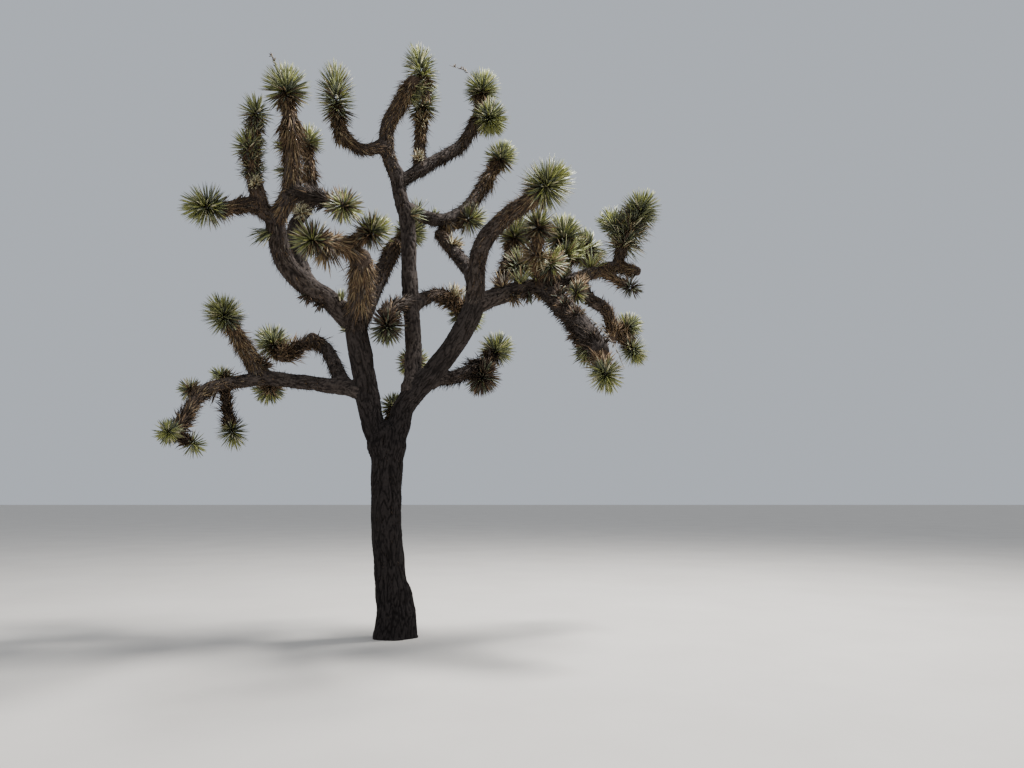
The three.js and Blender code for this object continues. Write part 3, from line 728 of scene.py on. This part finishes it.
# Each tuft: wood, share of its length, the way it grows (east, back, up), leaves, their length, spread in
# degrees, looks.
TUFTS = [
    ("west_crown_bough", 0.17, (0.2, -0.4, 1), 26, 0.17, 38, FRESH),
    ("west_bough", 0.93, (-1, -0.5, 0.1), 16, 0.13, 40, FRESH),
    ("west_crown_bough", 0.93, (-0.9, -0.4, -0.75), 42, 0.22, 34, FRESH),
    ("west_spire", 0.5, (-1, -0.2, -0.15), 18, 0.15, 40, FRESH),
    ("west_spire", 0.72, (-1, -0.2, -0.1), 16, 0.14, 40, FRESH),
    ("link_arm", 0.1, (0.1, -0.3, 1), 16, 0.16, 45, FRESH),
    ("link_arm", 0.22, (0.3, -0.3, 1), 10, 0.12, 45, FRESH),
    ("link_arm", 0.36, (0.1, -0.6, -0.9), 30, 0.15, 50, WITHERED),
    ("leader", 0.8, (1, -0.4, 0.1), 34, 0.2, 45, FRESH),
    ("drooping_arm", 0.4, (-0.5, -0.6, -0.7), 60, 0.2, 45, WITHERED),
    ("front_leaves_1", 1.0, (0.4, -0.7, 0.5), 60, 0.23, 60, SUNLIT),
    ("raised_leaves_0", 1.0, (-0.3, -0.5, 0.8), 50, 0.25, 80, SUNLIT),
    ("raised_leaves_0", 0.16, (1, -0.4, 0.2), 70, 0.17, 50, SHADED),
    ("raised_leaves_0", 0.3, (1, -0.5, -0.2), 50, 0.15, 45, WITHERED),
    ("west_crown_bough", 0.42, (-0.4, -0.5, -1), 50, 0.14, 55, SHADED),
    ("west_crown_bough", 0.3, (-0.4, -0.5, -1), 40, 0.12, 55, SHADED),
    ("back_bough", 0.64, (0.1, -1, 0), 120, 0.16, 75, PALE),
    ("west_column_leaves_0", 0.25, (0.35, -1, 0.1), 110, 0.12, 42, PALE),
    ("back_stub", 0.75, (0.4, -0.9, 0.1), 44, 0.18, 50, BLEACHED),
    ("east_front_leaves_0", 0.6, (-0.9, -0.5, 0), 110, 0.22, 65, WITHERED),
    ("east_front_leaves_0", 0.55, (0.5, -0.8, -0.3), 60, 0.2, 50, BLEACHED),
    ("front_leaves_0", 0.78, (0.12, -0.3, -1), 90, 0.31, 32, WITHERED),
    ("top_spire", 0.95, (1, -0.3, -0.3), 60, 0.2, 50, FRESH),
    ("top_spire", 0.84, (1, -0.3, -0.3), 40, 0.17, 50, FRESH),
    ("front_leaves_0", 0.6, (-0.3, -0.3, -1), 40, 0.17, 34, WITHERED),
    ("hanging_leaves_0", 0.7, (0.1, -0.3, -1), 40, 0.2, 60, SHADED),
    ("hanging_arm", 0.9, (-0.7, -0.4, -1), 80, 0.2, 55, FRESH),
    ("hanging_arm", 0.72, (-0.8, -0.4, -0.8), 60, 0.15, 55, SHADED),
    ("hanging_arm", 0.8, (0.3, -1, -0.5), 60, 0.16, 60, SHADED),
    ("east_arm", 0.26, (0, -0.6, 1), 60, 0.22, 65, SUNLIT),
    ("east_arm", 0.36, (0.1, -0.5, 1), 60, 0.24, 60, SUNLIT),
    ("east_arm", 0.52, (-0.2, -0.6, 1), 60, 0.22, 60, SUNLIT),
    ("east_arm", 0.22, (0.1, -0.6, -1), 50, 0.15, 50, WITHERED),
    ("east_arm", 0.3, (0.1, -0.4, -1), 50, 0.14, 50, SHADED),
    ("east_back_leaves_0", 0.55, (0.3, -0.9, 0.3), 70, 0.26, 60, SUNLIT),
    ("east_back_leaves_1", 0.45, (0.2, -0.8, 0.6), 70, 0.26, 60, SUNLIT),
    ("east_arm", 0.17, (-0.2, -0.5, 1), 60, 0.22, 60, WITHERED),
    ("east_arm", 0.4, (-0.35, -0.2, -1), 60, 0.17, 45, WITHERED),
    ("east_arm", 0.7, (0.2, 0.3, 1), 90, 0.26, 60, SUNLIT),
    ("hanging_arm", 0.12, (0.2, -1, 0.2), 70, 0.13, 78, SHADED),
    ("hanging_arm", 0.27, (0.2, -1, 0.3), 80, 0.13, 78, SHADED),
    ("hanging_arm", 0.42, (-0.2, -1, 0.2), 80, 0.13, 78, SHADED),
    ("hanging_arm", 0.57, (0.1, -1, 0.3), 80, 0.13, 78, SHADED),
    ("arched_arm", 0.9, (0.4, -0.4, 0.9), 90, 0.2, 60, BLEACHED),
    ("inner_top_leaves_0", 0.12, (0, -1, 0.5), 60, 0.12, 60, BLEACHED),
    ("inner_top_leaves_0", 0.75, (0, -1, -0.2), 50, 0.16, 60, BLEACHED),
]
# Each stalk, by the mass it belongs to: radius, and the places it passes, in STEP
STALKS = {
    "west_spire_leaves": (0.1, [(-22.2, -26, 117), (-23, -26, 119.6), (-24, -26, 122)]),
    "top_east_leaves": (0.13, [(17.2, 19.5, 140), (14, 18, 143), (10.5, 17, 143.8)]),
    "hanging_end_leaves": (0.11, [(38, -9, 75), (43, -14, 68.5), (47, -17, 63), (48.5, -19, 59)]),
}
JOINTS, PODS = 9, 16
POD_LENGTH, POD_WIDTH, POD_SPLAY = 0.045, 0.02, 1.1
LAST_JOINT, FIRST_POD = 0.97, 0.45  # of the stalk's length
JOINT_PART = 6  # a joint is a sixth of the stalk's length, so joints overlap
STALK_FLAT = np.array([0.3, -0.8, 0.5])


def grow_tuft(wood, share, way, count, length, spread, looks, rng):
    """A spray of leaves from one place on the wood, round the way it grows."""
    way = unit(np.array(way, float))
    root = wood.curve.points(share)[0] + way * (TUFT_ROOT * float(wood.radius(share)))
    turn = rng.uniform(0, 2 * math.pi, count)
    lean = np.radians(spread) * np.sqrt(rng.random(count))
    across = unit(np.cross(way, (0.3, 0.5, 0.8)))
    out = turned(across, np.cross(way, across), turn)
    along = unit(turned(way, out, lean) + rng.normal(0, TUFT_SCATTER, (count, 3)))
    roots = root + out * column(TUFT_WIDTH * rng.random(count)) + rng.normal(0, ROOT_SCATTER, (count, 3))
    lengths = length * rng.uniform(0.65, 1.1, count)
    looks = deal(rng, looks, count)
    widths = np.full(count, LEAF_WIDTH * TUFT_LEAF)
    bends = rng.normal(0, 0.06, count)
    add_by_look(looks, wood.owner, roots, along, way, lengths, widths, bends, 3)


def grow_stalk(owner, radius, path, rng):
    """A dry flower stalk with a few open pods at its end."""
    curve = Curve(in_metres(path))
    shares = np.concatenate([np.linspace(0, LAST_JOINT, JOINTS), rng.uniform(FIRST_POD, 1, PODS)])
    ways = curve.tangents(shares)
    ways[JOINTS:] += rng.normal(0, POD_SPLAY, (PODS, 3))
    lengths = np.repeat([curve.length / JOINT_PART, POD_LENGTH], [JOINTS, PODS])
    widths = np.repeat([2 * radius * STEP, POD_WIDTH], [JOINTS, PODS])
    looks = np.array(["grey", "brown"])[rng.integers(0, 2, len(shares))]
    straight = np.zeros(len(shares))
    add_by_look(looks, owner, curve.points(shares), unit(ways), STALK_FLAT, lengths, widths, straight, 3)


for index, (name, *tuft) in enumerate(TUFTS):
    grow_tuft(woods[name], *tuft, np.random.default_rng(TUFT_SEED + index))
for index, (owner, (radius, path)) in enumerate(STALKS.items()):
    grow_stalk(owner, radius, path, np.random.default_rng(STALK_SEED + index))

# Thatch of dead leaves on limbs and stems, by age: metres of growth past a place
THATCH_SEED = 900
AGES = (0.0, 0.3, 0.7, 1.3, 2.2, 3.0)
THATCH_LENGTHS = (0.17, 0.15, 0.1, 0.075, 0.06, 0.04)
THATCH_WIDTHS = (1, 1, 0.9, 0.8, 0.8, 0.8)
THATCH_COUNTS = (2600, 2300, 1800, 1400, 1100, 350)  # for each square metre
THATCH_WIDTH = 0.0205
SPARE = 1.1  # how many times more are tried than the root's girth asks for
LONG_THATCH = 0.45  # the age under which blades have a second ring
THATCH_SINK = 0.01
LOOSE_SHARE, LOOSE_LENGTH = 0.22, 0.85
LEAST_SPLAY = 6
LEAST_OUT = 0.06  # how much thatch points out of the wood at least, before it is scattered
THATCH_SCATTER = 0.14
BARE_FOOT = 0.4  # the height under which the trunk has lost its thatch
PARENT_ROWS = np.linspace(0, 1, 41)
THATCH_DROOP = 0.16
DROOP = {"hanging_arm": 0.6, "east_arm": 0.4, "top_east_arm": 0.35, "link_arm": 0.35, "knee_rise": 0.3,
         "west_crown_bough": 0.4}
SHAGGY = {"hanging_arm": 0.95, "east_arm": 1.3, "low_east_arm": 1.2, "top_east_arm": 1.4, "link_arm": 1.5,
          "link_leaves_0": 1.3, "knee_rise": 1.7, "knee_fall": 1.5, "west_crown_bough": 1.3,
          "east_crown_bough": 1.2, "middle_bough": 1.8, "west_spire": 1.5}
# Woods that stand in shade get near-black thatch and no rusty young bark: painted shade.
PAINTED_SHADE_WOODS = ("hanging_arm", "west_inner_leaves_0", "hanging_leaves_0", "low_east_arm", "low_east_leaves_0",
        "low_east_leaves_1")
PAINTED_SHADE_THATCH = dict(umber=8, brown=1.5, rust=0.5)
# Woods in half shade get darker thatch than their age gives: painted shade.
HALF_SHADE_WOODS = ("drooping_arm", "lowest_leaves_0", "drooping_leaves_0", "drooping_leaves_1")
HALF_SHADE_THATCH = dict(umber=3.5, brown=4, rust=2.5, dry=0.8)
# Woods that catch the light get lighter thatch than their age gives: partly their own colour, partly painted
# light.
PAINTED_LIGHT_WOODS = ("west_spire", "west_spire_leaves_0", "top_spire", "top_west_leaves_0", "raised_leaves_0",
         "middle_bough", "east_arm")
PAINTED_LIGHT_THATCH = dict(rust=6, brown=2, dry=2.2, grey=0.5)
PAINTED_LIGHT_AGE = 1.4
THATCH_LOOKS = (
    (0.5, dict(rust=6, brown=2, dry=1.4, grey=0.3)),
    (1.1, dict(rust=3, brown=4, umber=1.5, dry=0.3, grey=0.4)),
    (2.6, dict(rust=0.4, brown=3, umber=3, grey=0.2)),
    (9.0, dict(brown=1, umber=5)),
)


def thatch_ways(wood, out, tangents, loose, rng):
    """Ways back towards the wood's root and a little out of it, with a droop."""
    count = len(loose)
    wide = rng.uniform(25, 75, count)
    narrow = rng.gamma(3.0, 5.0, count) + LEAST_SPLAY
    splay = np.radians(np.where(loose, wide, narrow))
    along = turned(-tangents, out, splay) + DOWN * DROOP.get(wood.name, THATCH_DROOP)
    inward = np.minimum(np.sum(along * out, 1) - LEAST_OUT, 0)
    return unit(along - out * column(inward) + rng.normal(0, THATCH_SCATTER, along.shape))


def shows(wood, roots):
    """Whether each root is outside the wood that this one leaves, or above the trunk's bare foot."""
    if not wood.parent:
        return roots[:, 2] > BARE_FOOT
    parent = woods[wood.parent]
    centres, radii = parent.curve.points(PARENT_ROWS), parent.radius(PARENT_ROWS)
    gaps = np.linalg.norm(roots[:, None] - centres, axis=2) - radii
    return gaps.min(axis=1) > 0


def thatch_looks(wood, ages, rng):
    looks = np.empty(len(ages), dtype=object)
    start = -1.0
    for end, looks_here in THATCH_LOOKS:
        here = (ages > start) & (ages <= end)
        looks[here] = deal(rng, looks_here, int(here.sum()))
        start = end
    looks = looks.astype(str)
    # painted shade: the woods in shade get dark thatch
    if wood.name in PAINTED_SHADE_WOODS:
        looks = deal(rng, PAINTED_SHADE_THATCH, len(ages))
    # painted shade: darker thatch on the woods in half shade
    if wood.name in HALF_SHADE_WOODS:
        looks = deal(rng, HALF_SHADE_THATCH, len(ages))
    # partly painted light: lighter thatch on the woods that catch the light
    if wood.name in PAINTED_LIGHT_WOODS:
        looks = np.where(ages < PAINTED_LIGHT_AGE, deal(rng, PAINTED_LIGHT_THATCH, len(ages)), looks)
    return looks


def grow_thatch(wood, rng):
    """Dead leaves that lie back along the wood towards its root, longest and thickest near the tip."""
    densest = max(THATCH_COUNTS)
    most = int(densest * 2 * math.pi * float(wood.radius(0.0)) * wood.curve.length * SPARE)
    shares, angles = rng.random(most), rng.uniform(0, 2 * math.pi, most)
    ages = wood.age(shares)
    keep = rng.random(most) < np.interp(ages, AGES, THATCH_COUNTS) / densest
    shares, angles, ages = shares[keep], angles[keep], ages[keep]
    count = len(shares)
    roots, out, tangents = wood.surface(shares, angles, THATCH_SINK)
    lengths = np.interp(ages, AGES, THATCH_LENGTHS) * rng.uniform(0.45, 1.3, count)
    loose = rng.random(count) < LOOSE_SHARE
    lengths = lengths * SHAGGY.get(wood.name, 1.0) * np.where(loose, LOOSE_LENGTH, 1)
    along = thatch_ways(wood, out, tangents, loose, rng)
    looks = thatch_looks(wood, ages, rng)
    widths = THATCH_WIDTH * rng.uniform(0.55, 0.95, count) * np.interp(ages, AGES, THATCH_WIDTHS)
    bends = rng.normal(0.06, 0.07, count)
    outside = shows(wood, roots)
    for rings, shown in ((2, outside & (ages < LONG_THATCH)), (1, outside & (ages >= LONG_THATCH))):
        add_by_look(looks, wood.owner, roots, along, out, lengths, widths, bends, rings, shown)


for index, wood in enumerate(woods.values()):
    grow_thatch(wood, np.random.default_rng(THATCH_SEED + index))

for look, (name, material) in LEAF_LOOKS.items():
    gathered = blades[look]
    mesh = new_mesh(name, np.vstack(gathered.verts), np.vstack(gathered.tris))
    add_piece(mesh, name, material, sorted(gathered.nodes))

# Wood with its bark. Each group is fused into one closed skin, and takes the stems that its limbs carry.
GROUPS = {
    "trunk_wood": ["trunk", "west_bough", "east_bough"],
    "west_crown_wood": ["west_crown_bough", "west_spire", "west_arm", "back_bough", "middle_bough",
                        "inner_bough"],
    "low_west_wood": ["low_west_arm", "knee_rise", "knee_fall", "drooping_arm"],
    "top_wood": ["leader", "top_spire", "top_west_arm", "top_east_arm", "link_arm", "arched_arm"],
    "east_wood": ["east_crown_bough", "back_stub", "low_east_arm", "east_arm", "hanging_arm",
                  "hooked_arm"],
}
TRUNK_VOXEL, LIMB_VOXEL = 0.0103, 0.0137
SMOOTHING = 7
TUBE_SIDES = 28
TUBE_ROW = 0.03
COLLAR = 0.35  # how much wider a limb is where it leaves its parent sideways
COLLAR_FADE = 0.06
COLLAR_PARENT = 0.9  # where along the parent its radius is taken
DOME_RISES, DOME_HEIGHT, DOME_TOP = (0.35, 0.6, 0.75), 0.8, 0.05  # of the tip's radius
BELOW_GROUND = 0.05
CUT_HEIGHT = 0.001
# The bark's relief. Ages are in metres of growth.
RELIEF_SEED = 1
PLATE_WIDTH, PLATE_STRETCH = 0.026, 5.0
PLATE_WAVE, WAVE_SCALE = 0.6, 0.4
FURROW_WIDTH, CRACK_WIDTH, CRACK_SCALE, CRACK_DEPTH = 0.22, 0.2, 2.1, 0.4
OTHER_PLACE = Vector((5.2, 1.3, 7.7))
GRAIN_APART = 3.7  # so that no two limbs have the same grain
MEAN_RELIEF = 0.6
SMOOTH_AGE, ROUGHENING = 0.3, 2.2
FURROW_DEPTH, OLD_FURROWS = 0.004, 0.011
LUMP_DEPTH, OLD_LUMPS, LUMP_SCALE = 0.007, 0.006, 5.5
YOUNG_BARK, TRUNK_AGE = 1.1, 2.5
RUST_SHARE, FORK_HEIGHT = 0.35, 2.3  # above its fork the trunk's group gets a little rusty
BURL = {"top": 0.56, "edge": 0.035, "angle": 0.0, "wide": 0.62, "proud": 0.048}
SHARES_FINE = np.linspace(0, 1, 161)
INSIDE_PARENT = 0.85  # of the parent's radius


def tube(wood):
    """A closed tube with a domed tip and, where it leaves its parent sideways, a collar."""
    rows = max(4, round(wood.curve.length / TUBE_ROW))
    angles = np.linspace(0, 2 * math.pi, TUBE_SIDES, endpoint=False)
    rings = []
    for share in np.linspace(0, 1, rows + 1):
        here, out, _ = wood.surface(np.full(TUBE_SIDES, share), angles)
        if wood.sideways:
            past = share * wood.curve.length - float(woods[wood.parent].radius(COLLAR_PARENT))
            wider = COLLAR * float(wood.radius(share)) * math.exp(-max(past, 0) / COLLAR_FADE)
            here = here + out * wider
        rings.append(here)
    radius, last = float(wood.radius(1.0)), rings[-1]
    centre, tangent = wood.curve.points(1)[0], wood.curve.tangents(1)[0]
    for rise in DOME_RISES:
        narrowed = (last - centre) * math.sqrt(1 - (rise / DOME_HEIGHT) ** 2)
        rings.append(centre + tangent * (rise * radius) + narrowed)
    if not wood.parent:
        rings.insert(0, rings[0] - [0, 0, BELOW_GROUND])
    top = rings[-1].mean(0) + tangent * DOME_TOP * radius
    verts = np.vstack([*rings, rings[0].mean(0), top])
    tris = skin_between(len(rings), TUBE_SIDES)
    foot = len(rings) * TUBE_SIDES
    last_row = foot - TUBE_SIDES
    for side in range(TUBE_SIDES):
        beside = (side + 1) % TUBE_SIDES
        tris += [(beside, side, foot), (last_row + side, last_row + beside, foot + 1)]
    return verts, np.array(tris)


def fused(group, voxel):
    """One skin round a group's tubes."""
    verts, tris, count = [], [], 0
    for wood in group:
        tube_verts, tube_tris = tube(wood)
        verts.append(tube_verts)
        tris.append(tube_tris + count)
        count += len(tube_verts)
    draft_mesh = new_mesh("draft", np.vstack(verts), np.vstack(tris))
    draft = new_object("draft", draft_mesh)
    remesh = draft.modifiers.new("remesh", "REMESH")
    remesh.mode = "VOXEL"
    remesh.voxel_size = voxel
    remesh.use_smooth_shade = True
    evaluated = draft.evaluated_get(bpy.context.evaluated_depsgraph_get())
    mesh = bpy.data.meshes.new_from_object(evaluated)
    bpy.data.objects.remove(draft)
    bpy.data.meshes.remove(draft_mesh)
    return mesh


def as_array(source, field):
    values = np.empty(3 * len(source), np.float32)
    source.foreach_get(field, values)
    return values.reshape(-1, 3).astype(float)


def smooth(mesh):
    """Moves each vertex half way to the middle of its neighbours, which rounds the creases between limbs."""
    edges = np.empty(2 * len(mesh.edges), np.int32)
    mesh.edges.foreach_get("vertices", edges)
    first, second = edges.reshape(-1, 2).T
    places = as_array(mesh.vertices, "co")
    count = len(places)
    links = column(np.bincount(edges, minlength=count))
    for _ in range(SMOOTHING):
        total = np.stack([
            np.bincount(first, places[second, k], count) + np.bincount(second, places[first, k], count)
            for k in range(3)
        ], 1)
        places += 0.5 * (total / links - places)
    mesh.vertices.foreach_set("co", places.astype(np.float32).ravel())
    mesh.update()


def nearest_wood(places, group):
    """For each place, the number of the nearest wood of the group, and the share of its length there."""
    rows = []
    tree = KDTree(len(group) * len(SHARES_FINE))
    for number, wood in enumerate(group):
        parent = woods.get(wood.parent)
        for share, centre in zip(SHARES_FINE, wood.curve.points(SHARES_FINE)):
            if parent in group:
                gaps = np.linalg.norm(parent.curve.points(SAMPLES) - centre, axis=1)
                if (gaps - INSIDE_PARENT * parent.radius(SAMPLES)).min() < 0:
                    continue
            tree.insert(centre, len(rows))
            rows.append((number, share))
    tree.balance()
    found = np.array(rows)[[tree.find(place)[1] for place in places]]
    return found[:, 0].astype(int), found[:, 1]


def relief_at(grain):
    """Long ridges of bark parted by furrows, for places in the grain: 0 in a furrow and 1 on a ridge."""
    values = np.empty(len(grain))
    for number, place in enumerate(grain / PLATE_WIDTH):
        here = Vector(place)
        here += noise.noise_vector(here * WAVE_SCALE) * PLATE_WAVE
        ridge = min(1.0, abs(noise.noise(here)) / FURROW_WIDTH)
        crack = min(1.0, abs(noise.noise(here * CRACK_SCALE + OTHER_PLACE)) / CRACK_WIDTH)
        values[number] = ridge * (1 - CRACK_DEPTH + CRACK_DEPTH * crack)
    return values


def burl(places):
    """How far the swelling at the trunk's foot stands proud."""
    angle = np.arctan2(places[:, 1], places[:, 0])
    swell = np.exp(-((angle - BURL["angle"]) / BURL["wide"]) ** 2)
    swell /= 1 + np.exp((places[:, 2] - BURL["top"]) / BURL["edge"])
    return BURL["proud"] * swell


def furrow(mesh, group):
    """Moves the skin in and out by the bark's relief, and keeps what the material needs."""
    places, normals = as_array(mesh.vertices, "co"), as_array(mesh.vertex_normals, "vector")
    numbers, shares = nearest_wood(places, group)
    grain, ages, youth = np.zeros_like(places), np.zeros(len(places)), np.zeros(len(places))
    for number, wood in enumerate(group):
        here = numbers == number
        tangents, across, other = wood.curve.frames(shares[here])
        offset = places[here] - wood.curve.points(shares[here])
        run = shares[here] * wood.curve.length + np.sum(offset * tangents, 1)
        sides = [np.sum(offset * way, 1) for way in (across, other)]
        grain[here] = np.stack([*sides, run / PLATE_STRETCH], 1) + GRAIN_APART * number
        ages[here] = wood.age(shares[here])
        # the woods in shade get no rusty young bark, so their bark stays dark: painted shade
        youth[here] = 0 if wood.name in PAINTED_SHADE_WOODS else np.clip(1 - ages[here] / YOUNG_BARK, 0, 1)
    if limbs["trunk"] in group:
        ages = np.maximum(ages, TRUNK_AGE)
        youth = RUST_SHARE * np.clip(places[:, 2] - FORK_HEIGHT, 0, 1)
    old = np.clip((ages - SMOOTH_AGE) / ROUGHENING, 0, 1)
    relief = relief_at(grain)
    lumps = np.array([noise.noise(Vector(place) * LUMP_SCALE) for place in places])
    depth = (FURROW_DEPTH + OLD_FURROWS * old) * (relief - MEAN_RELIEF)
    moved = places + normals * column(depth + (LUMP_DEPTH + OLD_LUMPS * old) * lumps)
    if limbs["trunk"] in group:
        moved += normals * column(burl(places))
    mesh.vertices.foreach_set("co", moved.astype(np.float32).ravel())
    kept = (
        ("relief", "FLOAT", "value", relief),
        ("youth", "FLOAT", "value", youth),
        ("grain", "FLOAT_VECTOR", "vector", grain),
    )
    for name, kind, field, values in kept:
        attribute = mesh.attributes.new(name, kind, "POINT")
        attribute.data.foreach_set(field, values.astype(np.float32).ravel())
    mesh.update()


def cut_at_ground(mesh):
    """Cuts the trunk flat at ground level and closes the cut."""
    bm = bmesh.new()
    bm.from_mesh(mesh)
    everything = bm.verts[:] + bm.edges[:] + bm.faces[:]
    plane = {"plane_co": (0, 0, CUT_HEIGHT), "plane_no": (0, 0, 1)}
    cut = bmesh.ops.bisect_plane(bm, geom=everything, clear_inner=True, **plane)
    rim = [part for part in cut["geom_cut"] if isinstance(part, bmesh.types.BMEdge)]
    bmesh.ops.holes_fill(bm, edges=rim)
    bm.to_mesh(mesh)
    bm.free()


noise.seed_set(RELIEF_SEED)
for name, members in GROUPS.items():
    carried = [stem for stem in stems if masses[stem.owner].limb in members]
    group = [limbs[member] for member in members] + carried
    owners = members + sorted({stem.owner for stem in carried})
    is_trunk = name == "trunk_wood"
    mesh = fused(group, TRUNK_VOXEL if is_trunk else LIMB_VOXEL)
    smooth(mesh)
    furrow(mesh, group)
    if is_trunk:
        cut_at_ground(mesh)
        add_piece(mesh, name, TRUNK_BARK_AND_SHADE, owners)
    else:
        add_piece(mesh, name, LIMB_BARK_AND_SHADE, owners)

# Floor, light and camera
FLOOR_HALF = 120
FLOOR_COLOURS = [(0.3, (0.62, 0.58, 0.53)), (0.7, (0.68, 0.64, 0.585))]
CAMERA_PLACE = (1.309, -9.1, 1.55)
CAMERA_PITCH = 97.9
CAMERA_LENS = 28.125
KEY_LIGHT = {"place": (6.0, 2.0, 14.0), "size": 3.0, "power": 4600}
FILL_LIGHT = {"place": (-5.0, -11.0, 6.0), "size": 7.0, "power": 250}
AIM = (0.3, -0.3, 4.0)
SKY_COLOUR, SKY_STRENGTH = (0.8, 0.86, 0.95, 1), 0.62


def floor_material():
    nodes = Nodes("floor_pale")
    place = nodes.place()
    colour = nodes.ramp(nodes.noise(place, scale=0.6, detail=4), FLOOR_COLOURS)
    grit = nodes.noise(place, scale=40, detail=3)
    return nodes.finish(colour, grit, bump=0.1, distance=0.002, roughness=0.9, gloss=0.5)


floor_mesh = bpy.data.meshes.new("floor")
corners = [(FLOOR_HALF * x, FLOOR_HALF * y, 0) for x, y in ((-1, -1), (1, -1), (1, 1), (-1, 1))]
floor_mesh.from_pydata(corners, [], [(0, 1, 2, 3)])
floor_mesh.materials.append(floor_material())
floor = new_object("floor", floor_mesh)


def add_light(name, place, size, power):
    data = bpy.data.lights.new(name, "AREA")
    data.size = size
    data.energy = power
    light = new_object(name, data)
    light.location = place
    light.rotation_euler = (Vector(AIM) - Vector(place)).to_track_quat("-Z", "Y").to_euler()


add_light("key_light", **KEY_LIGHT)
add_light("fill_light", **FILL_LIGHT)
world = bpy.data.worlds.new("studio")
world.use_nodes = True
background = world.node_tree.nodes["Background"]
background.inputs["Color"].default_value = SKY_COLOUR
background.inputs["Strength"].default_value = SKY_STRENGTH
bpy.context.scene.world = world

camera_data = bpy.data.cameras.new("camera")
camera_data.lens = CAMERA_LENS
camera = new_object("camera", camera_data)
camera.location = CAMERA_PLACE
camera.rotation_euler = (math.radians(CAMERA_PITCH), 0, 0)
bpy.context.scene.camera = camera
